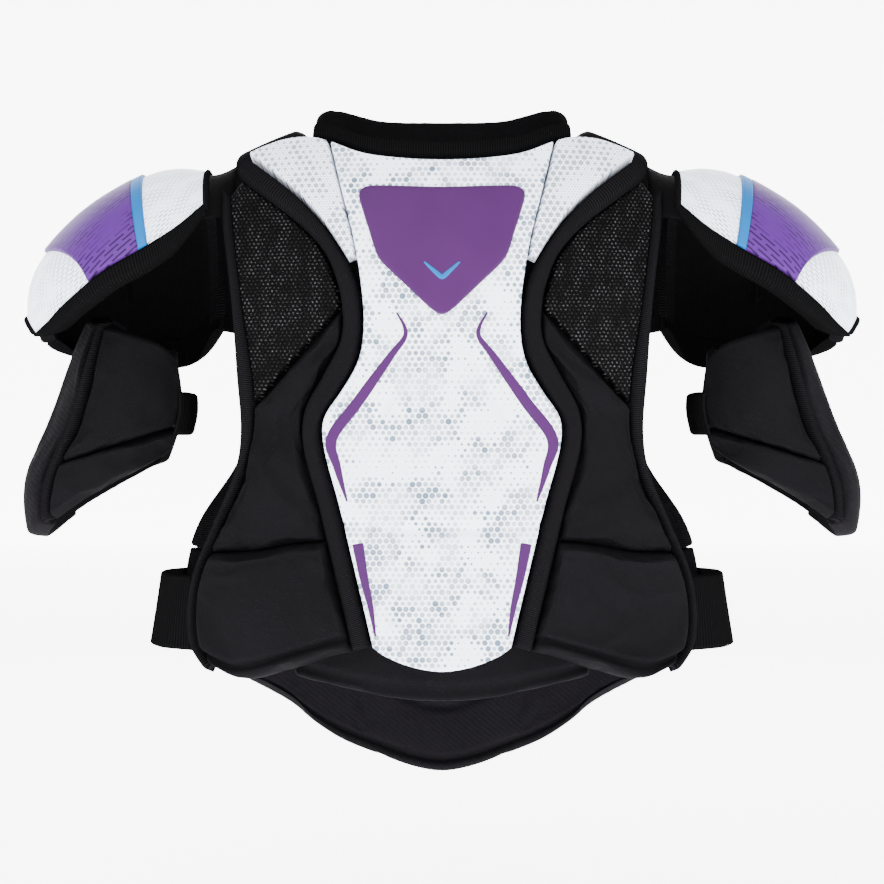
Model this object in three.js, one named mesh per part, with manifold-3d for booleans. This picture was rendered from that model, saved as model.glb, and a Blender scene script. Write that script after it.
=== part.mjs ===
// Youth hockey shoulder pads, millimetres, +Z up, the wearer's front towards -Y.
// The origin is the middle of the neck, at the height where the pads rest on the shoulders.
import * as THREE from 'three';
import { mergeVertices } from 'three/addons/utils/BufferGeometryUtils.js';
import Module from 'manifold-3d';

const wasm = await Module();
wasm.setup();

// The wearer's torso, which every body panel lies on.
const torso = {
  halfDepth: 92,
  chestHalfWidth: 150,
  waistHalfWidth: 164,
  armLevel: -95, // below it the wall is upright, above it the shoulder arch begins
  archLength: 165, // from the arm level up to the ridge, along the surface
  ridgeTop: 20,
  ridgeFall: 0.0022,
  roundness: 2.3,
  waistTaper: 10,
};
const seamGap = 0.8; // each panel stops this far short of its seam
const strapThickness = 2.2;
const padThickness = 8; // bicep guards
const capLayers = { cover: [-2.4, 0], shell: [-5.6, -3.8], foam: [-10.4, -6.8], band: [1.2, 2.6] };
const chestLayers = { liner: [0, 2], foam: [3.2, 8], plate: [8.8, 10.6], cover: [11.4, 14.5] };

// Edges of the front, as [height, distance from the centre line].
const coverEdge = heightCurve([[5, 64], [-27, 56], [-58, 48.3], [-92, 43.5], [-113, 44], [-126, 48],
  [-139, 56], [-154, 65.8], [-170, 65.6], [-200, 57.5], [-234, 49.2], [-281, 38]]);
const whiteEdge = heightCurve([[0, 113], [-5, 107.5], [-13, 98], [-25, 84], [-40, 70], [-57, 58], [-74, 49],
  [-92, 44.5], [-113, 45], [-126, 49], [-139, 57], [-154, 66.8], [-170, 66.6], [-200, 58.5],
  [-234, 50.2], [-281, 39]]);
const bindingEdge = heightCurve([[-11, 119.5], [-16, 115.5], [-29, 99.5], [-45, 80], [-61, 66], [-77.5, 59], [-92, 56],
  [-111, 56.5], [-131, 67], [-150, 77], [-171, 77.5], [-203, 69], [-237, 61], [-260, 55.5], [-284, 50]]);
const wingEdge = heightCurve([[-26, 121.5], [-45, 119.5], [-70, 116], [-100, 112], [-125, 108],
  [-147, 106], [-168, 107.5], [-188, 113], [-212, 124.5], [-241, 136.5], [-262, 140], [-280, 138.5],
  [-292, 131]]);
const outerEdge = heightCurve([[-20, 126.5], [-45, 125], [-70, 121.5], [-100, 118.5], [-132, 116.5],
  [-160, 114.3], [-180, 116.5], [-210, 128.5], [-240, 141.5], [-262, 145.5], [-282, 144], [-297, 134]]);
const neckline = [[0, -8], [22, -7], [44, -3.5], [64, 5]];
const wingSeam = [[64.6, -222], [84.5, -224], [109, -228], [wingEdge(-229), -229]];

// The back's half width by distance down from the ridge, measured along the surface.
const backEdge = heightCurve([[-42, 112], [-75, 108], [-110, 104], [-180, 103], [-220, 108], [-255, 124],
  [-285, 142], [-310, 149], [-335, 149], [-360, 140], [-380, 118]]);

// The caps, from the neck side outwards: ridge, front rim and rear rim.
const capRidge = [[134, 0, -9], [154, 0, -7], [174, 0, -12], [206, 0, -31], [231, 0, -56], [241, 0, -76],
  [242.5, 0, -100]];
const capFrontRim = [[131, -62, -38], [145, -70, -57], [163, -72, -70], [187, -70, -83], [207, -60, -97],
  [221, -48, -107], [235, -30, -108]];
const capRearRim = [[131, 60, -98], [145, 70, -116], [163, 72, -122], [190, 70, -121], [212, 60, -119],
  [230, 48, -115], [240, 28, -108]];

// The bicep guards: [height, centre, half width, half depth].
const guardRings = [[-90, 178, 27, 34], [-120, 181.8, 34.8, 38], [-146, 184.5, 41.5, 41],
  [-160, 188.3, 43.2, 42], [-176, 194.5, 44.5, 43], [-190, 199.5, 44, 43], [-205, 203, 41.5, 42],
  [-224, 205, 37, 41]];
const guardCrease = 0.72; // share of the height above the cuff

const pads = new THREE.Group();

function blend(a, b, share) {
  return a + (b - a) * share;
}

function smooth(x) {
  const s = Math.min(1, Math.max(0, x));
  return s * s * (3 - 2 * s);
}

// A smooth curve through [height, value] pairs that are listed from the top down.
function heightCurve(pairs) {
  const slopes = pairs.map((pair, i) => {
    const above = pairs[Math.max(0, i - 1)];
    const below = pairs[Math.min(pairs.length - 1, i + 1)];
    return (below[1] - above[1]) / (below[0] - above[0]);
  });
  return (height) => {
    const h = Math.min(pairs[0][0], Math.max(pairs[pairs.length - 1][0], height));
    let i = 0;
    while (i < pairs.length - 2 && h < pairs[i + 1][0]) {
      i += 1;
    }
    const span = pairs[i + 1][0] - pairs[i][0];
    const s = (h - pairs[i][0]) / span;
    const early = (1 + 2 * s) * (1 - s) * (1 - s) * pairs[i][1] + s * (1 - s) * (1 - s) * span * slopes[i];
    const late = s * s * (3 - 2 * s) * pairs[i + 1][1] + s * s * (s - 1) * span * slopes[i + 1];
    return early + late;
  };
}

// A smooth curve over 0..1 through [x, z] places.
function pathCurve(places) {
  const curve = new THREE.SplineCurve(places.map((place) => new THREE.Vector2(place[0], place[1])));
  return (s) => {
    const at = curve.getPointAt(s);
    return [at.x, at.y];
  };
}

function edgeCurve(edge, low, high, sign = 1) {
  return (s) => {
    const z = blend(low, high, s);
    return [sign * edge(z), z];
  };
}

function bothSides(places) {
  const left = places.slice(1).reverse().map((place) => [-place[0], place[1]]);
  return [...left, ...places];
}

// A place on the torso: x across, down is minus in front and plus behind, 0 on the ridge.
function torsoPoint(x, down) {
  const length = Math.abs(down);
  const lean = Math.max(0, 1 - length / torso.archLength) * Math.PI / 2;
  const rise = torso.ridgeTop - torso.ridgeFall * x * x - torso.armLevel;
  const z = torso.armLevel + rise * Math.sin(lean) - Math.max(0, length - torso.archLength);
  const half = blend(torso.chestHalfWidth, torso.waistHalfWidth, smooth((-150 - z) / 80));
  const across = Math.min(0.995, Math.abs(x) / half);
  const round = (1 - across ** torso.roundness) ** (1 / torso.roundness);
  const drop = Math.max(0, torso.armLevel - z) / 210;
  const depth = torso.halfDepth - torso.waistTaper * drop ** 1.5;
  return new THREE.Vector3(x, Math.sign(down) * depth * round * Math.cos(lean), z);
}

function offPoint(surface, a, b, lift, step) {
  const across = surface(a + step, b).sub(surface(a - step, b));
  const along = surface(a, b + step).sub(surface(a, b - step));
  const normal = across.cross(along).normalize();
  return surface(a, b).addScaledVector(normal, lift);
}

// The torso place whose raised point has this x and z, on the front (-1) or the back (1).
function footOf(x, z, lift, face) {
  let foot = x;
  let down = face * Math.max(20, 70 - z);
  for (let turn = 0; turn < 36; turn += 1) {
    const point = offPoint(torsoPoint, foot, down, lift, 1);
    foot += 0.7 * (x - point.x);
    foot = Math.max(-156, Math.min(156, foot));
    down += face * 0.7 * (point.z - z);
    down = face * Math.max(3, face * down);
  }
  return [foot, down];
}

// The inside of four border curves; each runs left to right or bottom to top.
function patch(bottom, top, left, right) {
  const inside = (u, v) => [0, 1].map((i) => {
    const sides = blend(left(v)[i], right(v)[i], u);
    const ends = blend(bottom(u)[i], top(u)[i], v);
    const low = blend(bottom(0)[i], bottom(1)[i], u);
    const high = blend(top(0)[i], top(1)[i], u);
    return sides + ends - blend(low, high, v);
  });
  const apart = (p, q) => Math.hypot(p[0] - q[0], p[1] - q[1]);
  return (u, v) => {
    const rim = Math.min(0.3, seamGap / apart(inside(u, 0), inside(u, 1)));
    const row = blend(rim, 1 - rim, v);
    const end = Math.min(0.3, seamGap / apart(inside(0, row), inside(1, row)));
    return inside(blend(end, 1 - end, u), row);
  };
}

// A unit box with cells[0] by cells[1] faces, bent so that (u, v, w) goes to place(u, v, w).
function bentBox(cells, place) {
  const box = new THREE.BoxGeometry(1, 1, 1, cells[0], cells[1], 1);
  const spots = box.getAttribute('position');
  const spot = new THREE.Vector3();
  for (let i = 0; i < spots.count; i += 1) {
    spot.fromBufferAttribute(spots, i).addScalar(0.5);
    const moved = place(spot.x, spot.y, spot.z);
    spots.setXYZ(i, moved.x, moved.y, moved.z);
  }
  turnOutward(box);
  return box;
}

// A mirrored box has its faces inside out, so the corner order is swapped.
function turnOutward(geometry) {
  const spots = geometry.getAttribute('position');
  const order = geometry.getIndex();
  const corner = (i) => new THREE.Vector3().fromBufferAttribute(spots, order.getX(i));
  let volume = 0;
  for (let i = 0; i < order.count; i += 3) {
    volume += corner(i).dot(corner(i + 1).cross(corner(i + 2)));
  }
  if (volume < 0) {
    for (let i = 0; i < order.count; i += 3) {
      const first = order.getX(i);
      order.setX(i, order.getX(i + 1));
      order.setX(i + 1, first);
    }
  }
  geometry.computeVertexNormals();
}

function solidOf(geometry) {
  const bare = geometry.clone();
  bare.deleteAttribute('normal');
  bare.deleteAttribute('uv');
  const merged = mergeVertices(bare, 1e-4);
  return new wasm.Manifold(new wasm.Mesh({
    numProp: 3,
    vertProperties: new Float32Array(merged.getAttribute('position').array),
    triVerts: new Uint32Array(merged.getIndex().array),
  }));
}

function join(geometries) {
  const whole = geometries.map(solidOf).reduce((a, b) => a.add(b)).getMesh();
  const joined = new THREE.BufferGeometry();
  joined.setAttribute('position', new THREE.BufferAttribute(new Float32Array(whole.vertProperties), 3));
  joined.setIndex(new THREE.BufferAttribute(new Uint32Array(whole.triVerts), 1));
  joined.computeVertexNormals();
  return joined;
}

function addPiece(name, geometry, colour, roughness) {
  const finish = new THREE.MeshStandardMaterial({ color: colour, roughness, metalness: 0 });
  const piece = new THREE.Mesh(geometry, finish);
  piece.name = name;
  pads.add(piece);
}

// A layer seen from the front or the back, from lifts[0] to lifts[1] above the torso.
function viewLayer(region, lifts, cells, face) {
  return bentBox(cells, (u, v, w) => {
    const [x, z] = region(u, v);
    const [foot, down] = footOf(x, z, lifts[1], face);
    return offPoint(torsoPoint, foot, down, blend(lifts[0], lifts[1], w), 1);
  });
}

// A layer laid out in torso places directly.
function torsoLayer(region, lifts, cells) {
  return bentBox(cells, (u, v, w) => {
    const [x, down] = region(u, v);
    return offPoint(torsoPoint, x, down, blend(lifts[0], lifts[1], w), 1);
  });
}

function mirrored(region, sign) {
  return (u, v) => {
    const [x, z] = region(u, v);
    return [sign * x, z];
  };
}

const sides = [['left', 1], ['right', -1]];
const white = 0xeceef4;
const purple = 0x8f5db0;
const black = 0x141315;
const trim = 0x242223;
const foamGrey = 0x5b5b60;

// Chest: liner, foam, plate and printed cover over each other.
function addChest() {
  const linerTop = pathCurve(bothSides([...neckline, [88, 2], [108, -8], [114, -22]]));
  const linerBottom = pathCurve(bothSides([[0, -290], [38, -280], [80, -284], [122, -282]]));
  const linerSide = (sign) => (s) => {
    const z = blend(-282, -22, s);
    return [sign * blend(blend(122, 114, s), wingEdge(z) - 8, Math.min(1, 4 * s * (1 - s) * 3)), z];
  };
  const liner = patch(linerBottom, linerTop, linerSide(-1), linerSide(1));
  addPiece('chest_liner', viewLayer(liner, chestLayers.liner, [14, 12], -1), black, 0.9);

  const topCurve = pathCurve(bothSides(neckline));
  const bottomCurve = pathCurve(bothSides([[0, -294.5], [16, -292], [30, -286.5], [38, -281]]));
  const cover = patch(bottomCurve, topCurve, edgeCurve(coverEdge, -281, 5, -1), edgeCurve(coverEdge, -281, 5));
  const foam = patch(
    pathCurve(bothSides([[0, -276], [36, -272]])),
    pathCurve(bothSides([[0, -16], [44, -12], [58, -6]])),
    (s) => [-coverEdge(blend(-272, -6, s)) + 2, blend(-272, -6, s)],
    (s) => [coverEdge(blend(-272, -6, s)) - 2, blend(-272, -6, s)],
  );
  const plate = patch(
    pathCurve(bothSides([[0, -240], [38, -236]])),
    pathCurve(bothSides([[0, -34], [44, -30]])),
    (s) => [-Math.min(50, coverEdge(blend(-236, -30, s)) - 6), blend(-236, -30, s)],
    (s) => [Math.min(50, coverEdge(blend(-236, -30, s)) - 6), blend(-236, -30, s)],
  );
  addPiece('chest_foam', viewLayer(foam, chestLayers.foam, [6, 14], -1), foamGrey, 0.95);
  addPiece('chest_plate', viewLayer(plate, chestLayers.plate, [6, 12], -1), 0xd8dadd, 0.5);
  addPiece('chest_cover', viewLayer(cover, chestLayers.cover, [8, 18], -1), white, 0.85);

  const badgeSide = pathCurve([[4, -97], [17, -86], [33, -68], [42, -52], [46, -39], [47.5, -27]]);
  const badge = patch(
    pathCurve(bothSides([[0, -98], [4, -97]])),
    pathCurve(bothSides([[0, -24.5], [30, -23], [47.5, -27]])),
    (s) => [-badgeSide(s)[0], badgeSide(s)[1]],
    badgeSide,
  );
  addPiece('chest_badge', viewLayer(badge, [15.4, 16.9], [6, 7], -1), 0x7b4a94, 0.45);

  const bellyTop = pathCurve(bothSides([[0, -252], [78, -248]]));
  const bellyLow = pathCurve(bothSides([[0, -311], [40, -307.5], [84, -298]]));
  const bellySide = (sign) => (s) => [sign * blend(84, 78, s), blend(-298, -248, s)];
  const belly = patch(bellyLow, bellyTop, bellySide(-1), bellySide(1));
  addPiece('belly_pad', viewLayer(belly, [-8.5, -1.4], [8, 4], -1), black, 0.9);

  const bandLow = pathCurve(bothSides([[0, -5.8], [22, -4.8], [44, -1.2], [62, 6.6], [75, 9.8]]));
  const bandTop = pathCurve(bothSides([[0, 4.2], [22, 5.2], [44, 8.6], [62, 16.2], [75, 18.3]]));
  const bandSide = (sign) => (s) => [sign * 75, blend(9.8, 18.3, s)];
  const band = patch(bandLow, bandTop, bandSide(-1), bandSide(1));
  addPiece('neck_band', viewLayer(band, [5, 13], [12, 1], -1), trim, 0.85);
}

function addChestSide(name, sign) {
  const yoke = patch(
    pathCurve([[47.8, -64], [53.6, -66]]),
    pathCurve([[64, 5], [76, 8.2], [90, 8], [103, 4.2], [113, 0]]),
    edgeCurve(coverEdge, -64, 5),
    edgeCurve(whiteEdge, -66, 0),
  );
  addPiece(`shoulder_yoke_${name}`, viewLayer(mirrored(yoke, sign), [3.2, 13.6], [4, 6], -1), white, 0.8);

  const binding = patch(
    pathCurve([[39, -281], [50, -284]]),
    pathCurve([[113, 0], [119.5, -11]]),
    edgeCurve(whiteEdge, -281, 0),
    edgeCurve(bindingEdge, -284, -11),
  );
  addPiece(`chest_binding_${name}`, viewLayer(mirrored(binding, sign), [3.2, 12.6], [1, 20], -1), trim, 0.8);

  const mesh = patch(
    pathCurve([[bindingEdge(-93), -93], [82, -121.5], [wingEdge(-147) - 2.5, -147]]),
    pathCurve([[bindingEdge(-17), -17], [wingEdge(-27) - 2.5, -27]]),
    edgeCurve(bindingEdge, -93, -17),
    (s) => [wingEdge(blend(-147, -27, s)) - 2.5, blend(-147, -27, s)],
  );
  addPiece(`mesh_insert_${name}`, viewLayer(mirrored(mesh, sign), [3.2, 8.4], [5, 7], -1), 0x101010, 0.75);

  const upper = patch(
    pathCurve(wingSeam),
    pathCurve([[bindingEdge(-95), -95], [82, -123.5], [wingEdge(-149), -149]]),
    edgeCurve(bindingEdge, -222, -95),
    edgeCurve(wingEdge, -229, -149),
  );
  addPiece(`upper_wing_${name}`, viewLayer(mirrored(upper, sign), [3.2, 9.8], [5, 9], -1), black, 0.9);

  const lower = patch(
    pathCurve([[50, -284], [62, -286.5], [88, -294.5], [112, -298.5], [131, -292]]),
    pathCurve(wingSeam),
    edgeCurve(bindingEdge, -284, -222),
    edgeCurve(wingEdge, -292, -229),
  );
  addPiece(`lower_wing_${name}`, viewLayer(mirrored(lower, sign), [3.2, 14], [6, 5], -1), black, 0.9);

  const edging = patch(
    pathCurve([[131, -292], [134, -297]]),
    pathCurve([[121.5, -26], [126.5, -20]]),
    edgeCurve(wingEdge, -292, -26),
    edgeCurve(outerEdge, -297, -20),
  );
  addPiece(`side_binding_${name}`, viewLayer(mirrored(edging, sign), [2.6, 11.5], [1, 18], -1), trim, 0.8);

  const bridge = (u, v) => [sign * blend(78.5, 117, u), blend(-27, 40, v)];
  addPiece(`shoulder_bridge_${name}`, torsoLayer(bridge, [2.5, 11], [3, 6]), black, 0.9);
}

// Back panel: liner, foam, spine plate, centre and side pads, lower flap, collar and edging.
function addBack() {
  const topLine = (half) => pathCurve(bothSides([[0, 78], [40, 72], [62, 61], [80, 47], [half, 43]]));
  const straight = (half, down) => (s) => [blend(-half, half, s), down];
  const edgeDown = (inset, low, high, sign) => (s) => {
    const down = blend(low, high, s);
    return [sign * (backEdge(-down) - inset), down];
  };
  const layer = (inset, low) => patch(
    straight(backEdge(-low) - inset, low),
    topLine(backEdge(-43) - inset),
    edgeDown(inset, low, 43, -1),
    edgeDown(inset, low, 43, 1),
  );
  addPiece('back_liner', torsoLayer(layer(8, 299), [0, 2], [14, 12]), black, 0.9);

  const foam = patch(straight(70, 292), straight(66, 84), (s) => [-blend(70, 66, s), blend(292, 84, s)],
    (s) => [blend(70, 66, s), blend(292, 84, s)]);
  addPiece('back_foam', torsoLayer(foam, [3.2, 8], [8, 9]), foamGrey, 0.95);
  const spine = patch(straight(30, 270), straight(36, 96), (s) => [-blend(30, 36, s), blend(270, 96, s)],
    (s) => [blend(30, 36, s), blend(270, 96, s)]);
  addPiece('spine_plate', torsoLayer(spine, [8.8, 10.6], [4, 9]), 0xd8dadd, 0.5);
  const centre = patch(straight(50, 300), straight(46, 80), (s) => [-blend(50, 46, s), blend(300, 80, s)],
    (s) => [blend(50, 46, s), blend(300, 80, s)]);
  addPiece('back_centre', torsoLayer(centre, [11.6, 15], [6, 10]), white, 0.85);

  const flap = patch(
    pathCurve(bothSides([[0, 440], [18, 437], [37, 430], [59, 421], [76, 410], [93, 396], [118, 381]])),
    straight(backEdge(-303), 303),
    edgeDown(0, 381, 303, -1),
    edgeDown(0, 381, 303, 1),
  );
  addPiece('back_lower_flap', torsoLayer(flap, [0, 7], [14, 7]), black, 0.9);

  addPiece('back_collar', bentBox([12, 1], (u, v, w) => {
    const turn = blend(-63, 63, u) * Math.PI / 180;
    const reach = blend(-3.5, 3.5, w);
    const low = -7 + 24 * Math.sin(turn) ** 2;
    const high = 27.5 + 4.5 * smooth((Math.abs(turn) - 0.4) / 0.5);
    const x = (83 + reach) * Math.sin(turn);
    const y = 2 + (58 + reach) * Math.cos(turn);
    return new THREE.Vector3(x, y, blend(low, high, v));
  }), trim, 0.85);

  sides.forEach(([name, sign]) => {
    const pad = patch(
      pathCurve([[52.5, 300], [backEdge(-300) - 7, 300]]),
      pathCurve([[52.5, 82], [66, 62], [84, 47], [104, 44]]),
      (s) => [52.5, blend(300, 82, s)],
      (s) => [backEdge(-blend(300, 44, s)) - 7, blend(300, 44, s)],
    );
      addPiece(`back_pad_${name}`, torsoLayer(mirrored(pad, sign), [9.2, 15], [5, 12]), black, 0.9);
    const edging = patch(
      pathCurve([[backEdge(-300) - 6, 300], [backEdge(-300), 300]]),
      pathCurve([[backEdge(-43) - 6, 43], [backEdge(-43), 43]]),
      edgeDown(6, 300, 43, 1),
      edgeDown(0, 300, 43, 1),
    );
    addPiece(`back_binding_${name}`, torsoLayer(mirrored(edging, sign), [0, 10], [1, 16]), trim, 0.8);
  });
}

// Caps: a dome from the ridge down to the front and rear rims.
function ringAt(places, u) {
  const curve = new THREE.CatmullRomCurve3(places.map((place) => new THREE.Vector3(...place)), false, 'catmullrom');
  return curve.getPoint(Math.min(1, Math.max(0, u)));
}

function capPoint(u, turn) {
  const ridge = ringAt(capRidge, u);
  const rim = ringAt(turn < 0 ? capFrontRim : capRearRim, u);
  const sink = 1 - Math.cos(turn);
  const x = blend(ridge.x, rim.x, sink);
  return new THREE.Vector3(x, rim.y * Math.abs(Math.sin(turn)), blend(ridge.z, rim.z, sink));
}

function capLayer(sign, along, turns, lifts, cells) {
  return bentBox(cells, (u, v, w) => {
    const turn = blend(turns[0], turns[1], v) * Math.PI / 180;
    const point = offPoint(capPoint, blend(along[0], along[1], u), turn, blend(lifts[0], lifts[1], w), 0.012);
    point.x *= sign;
    return point;
  });
}

function addCap(name, sign) {
  const body = [[0.02, 0.93], [-75, 78]];
  addPiece(`cap_cover_${name}`, capLayer(sign, ...body, capLayers.cover, [7, 8]), white, 0.8);
  addPiece(`cap_shell_${name}`, capLayer(sign, ...body, capLayers.shell, [7, 8]), 0xd8dadd, 0.5);
  addPiece(`cap_foam_${name}`, capLayer(sign, ...body, capLayers.foam, [7, 8]), black, 0.9);
  const band = capLayer(sign, [0.34, 0.67], [-73, 60], capLayers.band, [4, 8]);
  addPiece(`cap_band_${name}`, band, purple, 0.5);
  const edging = join([
    capLayer(sign, [0.02, 0.985], [-90, -77.5], [-11, 0.8], [8, 1]),
    capLayer(sign, [0.95, 0.985], [-79, 82], [-11, 0.8], [1, 6]),
    capLayer(sign, [0.02, 0.985], [80.5, 90], [-11, 0.8], [8, 1]),
  ]);
  addPiece(`cap_binding_${name}`, edging, trim, 0.8);

  // A webbing hanger from the cap's inside down to the guard.
  const hanger = new THREE.BoxGeometry(strapThickness, 24, 52);
  hanger.translate(sign * 184, 0, -60);
  addPiece(`guard_hanger_${name}`, hanger, black, 0.9);
}

// Bicep guards: an open sleeve, turn 0 at its outer side and minus towards the front.
function guardSection(z) {
  const rows = guardRings;
  const pick = (k) => heightCurve(rows.map((row) => [row[0], row[k]]))(z);
  return { centre: pick(1), halfWidth: pick(2), halfDepth: pick(3) };
}

function guardPoint(turn, z, lift) {
  const ring = guardSection(z);
  const nose = new THREE.Vector3(Math.cos(turn) / ring.halfWidth, Math.sin(turn) / ring.halfDepth, 0).normalize();
  const x = ring.centre + ring.halfWidth * Math.cos(turn);
  const y = ring.halfDepth * Math.sin(turn);
  return new THREE.Vector3(x, y, z).addScaledVector(nose, lift);
}

function guardLayer(sign, turns, share, lifts, cells) {
  return bentBox(cells, (u, v, w) => {
    const turn = blend(turns[0], turns[1], u) * Math.PI / 180;
    const top = -104 + 9 * Math.cos(turn);
    const bottom = -197 - 24 * Math.cos(turn);
    const point = guardPoint(turn, blend(top, bottom, blend(share[0], share[1], v)), blend(lifts[0], lifts[1], w));
    point.x *= sign;
    return point;
  });
}

function addGuard(name, sign) {
  const front = [-148, -58];
  addPiece(`guard_outer_${name}`, guardLayer(sign, [-46.5, 58], [0, 1], [-padThickness, 0], [6, 5]), black, 0.9);
  addPiece(`guard_plate_${name}`, guardLayer(sign, [-36, 48], [0.12, 0.9], [-11.8, -10], [5, 4]), 0xd8dadd, 0.5);
  addPiece(`guard_back_${name}`, guardLayer(sign, [60, 138], [0, 1], [-padThickness, 0], [5, 5]), black, 0.9);
  addPiece(`guard_rib_${name}`, guardLayer(sign, [-56, -48.5], [0, 1], [-8.5, 0.8], [1, 6]), trim, 0.8);
  const panel = guardLayer(sign, front, [0, guardCrease - 0.006], [-padThickness, 0], [5, 4]);
  addPiece(`guard_front_${name}`, panel, black, 0.9);
  const cuff = guardLayer(sign, front, [guardCrease + 0.006, 1], [-padThickness, 0], [5, 2]);
  addPiece(`guard_cuff_${name}`, cuff, black, 0.9);

  addPiece(`arm_strap_${name}`, bentBox([7, 1], (u, v, w) => {
    const turn = blend(126, 222, u) * Math.PI / 180;
    const height = blend(-163, -138, v);
    const lift = blend(2.7, 2.7 + strapThickness, w);
    const point = guardPoint(turn, height, lift);
    // The elastic is pulled straight across the open inner side, level with the front panel's edge.
    point.x = sign * Math.max(point.x, guardPoint(212 * Math.PI / 180, height, lift).x);
    return point;
  }), black, 0.9);
}

// Side straps: elastic webbing from behind each wing to the outside of the back panel.
function addSideStrap(name, sign) {
  const lowPath = new THREE.CatmullRomCurve3([[143, -41], [160, -24], [169, 0], [169.5, 20], [163.5, 37], [153.8, 50],
    [143.8, 59]]
    .map(([x, y]) => new THREE.Vector3(x, y, -286)));
  const highPath = new THREE.CatmullRomCurve3([[142, -42], [154, -25], [161.5, 0], [164.5, 20], [161.5, 37],
    [153.9, 51.5], [144, 60.6]]
    .map(([x, y]) => new THREE.Vector3(x, y, -243)));
  addPiece(`side_strap_${name}`, bentBox([14, 1], (u, v, w) => {
    const point = lowPath.getPoint(u).lerp(highPath.getPoint(u), v);
    const along = lowPath.getTangent(u);
    const out = new THREE.Vector3(along.y, -along.x, 0).normalize();
    point.addScaledVector(out, blend(0, strapThickness, w));
    point.x *= sign;
    return point;
  }), black, 0.85);
}

addChest();
sides.forEach(([name, sign]) => addChestSide(name, sign));
addBack();
sides.forEach(([name, sign]) => {
  addCap(name, sign);
  addGuard(name, sign);
  addSideStrap(name, sign);
});

export default pads;
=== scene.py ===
# Youth hockey shoulder pads: the looks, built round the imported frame. Lengths are millimetres until toMetres.
import math
from functools import partial

import bmesh
import bpy
import numpy as np
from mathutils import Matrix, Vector


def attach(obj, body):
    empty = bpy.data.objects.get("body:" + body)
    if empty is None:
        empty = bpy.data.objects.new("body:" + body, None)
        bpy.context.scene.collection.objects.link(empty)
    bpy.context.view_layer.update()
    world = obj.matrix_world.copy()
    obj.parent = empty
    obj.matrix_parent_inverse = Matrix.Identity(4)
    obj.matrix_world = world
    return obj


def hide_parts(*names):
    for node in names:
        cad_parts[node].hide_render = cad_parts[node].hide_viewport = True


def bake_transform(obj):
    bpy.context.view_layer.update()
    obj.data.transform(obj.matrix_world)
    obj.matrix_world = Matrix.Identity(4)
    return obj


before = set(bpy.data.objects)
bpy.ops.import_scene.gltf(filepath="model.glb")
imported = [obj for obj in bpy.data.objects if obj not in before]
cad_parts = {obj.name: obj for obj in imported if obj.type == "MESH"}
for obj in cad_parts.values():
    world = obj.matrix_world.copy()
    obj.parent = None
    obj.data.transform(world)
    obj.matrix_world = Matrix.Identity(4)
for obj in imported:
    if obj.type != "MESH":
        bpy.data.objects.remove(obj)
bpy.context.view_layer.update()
print("frame loaded")

toMetres = 0.001


def mix(a, b, share):
    return a + (b - a) * share


def smooth(x):
    s = np.clip(x, 0.0, 1.0)
    return s * s * (3 - 2 * s)


# pairs of (height, value) from the top down, joined by a smooth curve
def heightCurve(pairs):
    h = np.array([p[0] for p in pairs], float)[::-1]
    w = np.array([p[1] for p in pairs], float)[::-1]
    slope = np.zeros(len(h))
    slope[1:-1] = (w[2:] - w[:-2]) / (h[2:] - h[:-2])
    slope[0] = (w[1] - w[0]) / (h[1] - h[0])
    slope[-1] = (w[-1] - w[-2]) / (h[-1] - h[-2])

    def at(z):
        z = np.clip(z, h[0], h[-1])
        i = np.clip(np.searchsorted(h, z, side="right") - 1, 0, len(h) - 2)
        span = h[i + 1] - h[i]
        s = (z - h[i]) / span
        low = (1 + 2 * s) * (1 - s) ** 2 * w[i] + s * (1 - s) ** 2 * span * slope[i]
        return low + s * s * (3 - 2 * s) * w[i + 1] + s * s * (s - 1) * span * slope[i + 1]

    return at


# the places with one more beyond each end, so that a curve can start and stop on them
def withEnds(p):
    return np.vstack([2 * p[0] - p[1], p, 2 * p[-1] - p[-2]])


def curveBetween(a, b, c, d, s):
    return 0.5 * (2 * b + (c - a) * s + (2 * a - 5 * b + 4 * c - d) * s ** 2 + (3 * b - a - 3 * c + d) * s ** 3)


# a smooth curve through places, walked evenly by length: share is 0..1
def splineThrough(places, share):
    p = np.array(places, float)
    ends = withEnds(p)
    fine = []
    for i in range(len(p) - 1):
        fine += [curveBetween(*ends[i:i + 4], s) for s in np.linspace(0, 1, 24, endpoint=False)]
    fine = np.array(fine + [p[-1]])
    walked = np.concatenate([[0], np.cumsum(np.linalg.norm(np.diff(fine, axis=0), axis=1))])
    at = np.clip(share, 0, 1) * walked[-1]
    return np.stack([np.interp(at, walked, fine[:, k]) for k in range(p.shape[1])], axis=-1)


# the same curve as the CAD's: even steps from place to place
def knotCurve(places, u):
    p = np.array(places, float)
    ends = withEnds(p)
    at = np.clip(u, 0, 1) * (len(p) - 1)
    i = np.minimum(len(p) - 2, np.floor(at).astype(int))
    return curveBetween(ends[i], ends[i + 1], ends[i + 2], ends[i + 3], (at - i)[:, None])


def pathCurve(places):
    return lambda s: splineThrough(places, s)


def edgeCurve(edge, low, high, sign=1, inset=0.0):
    def at(s):
        z = mix(low, high, np.asarray(s, float))
        return np.stack([sign * (edge(z) - inset), z], axis=-1)
    return at


def straight(start, end):
    return lambda s: np.stack([mix(start[0], end[0], s), mix(start[1], end[1], s)], axis=-1)


# places from the middle outwards, joined to their mirror image
def bothSides(places):
    return [(-x, z) for x, z in places[:0:-1]] + list(places)


# the wearer: x across, down the length of cloth from the ridge of the shoulders, behind when it is positive
torso = dict(halfDepth=92.0, chestHalf=150.0, waistHalf=164.0, armLevel=-95.0, archLength=165.0, ridgeTop=20.0,
             ridgeFall=0.0022, roundness=2.3, waistTaper=10.0, taperOver=210, widenFrom=-150, widenOver=80)


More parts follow.
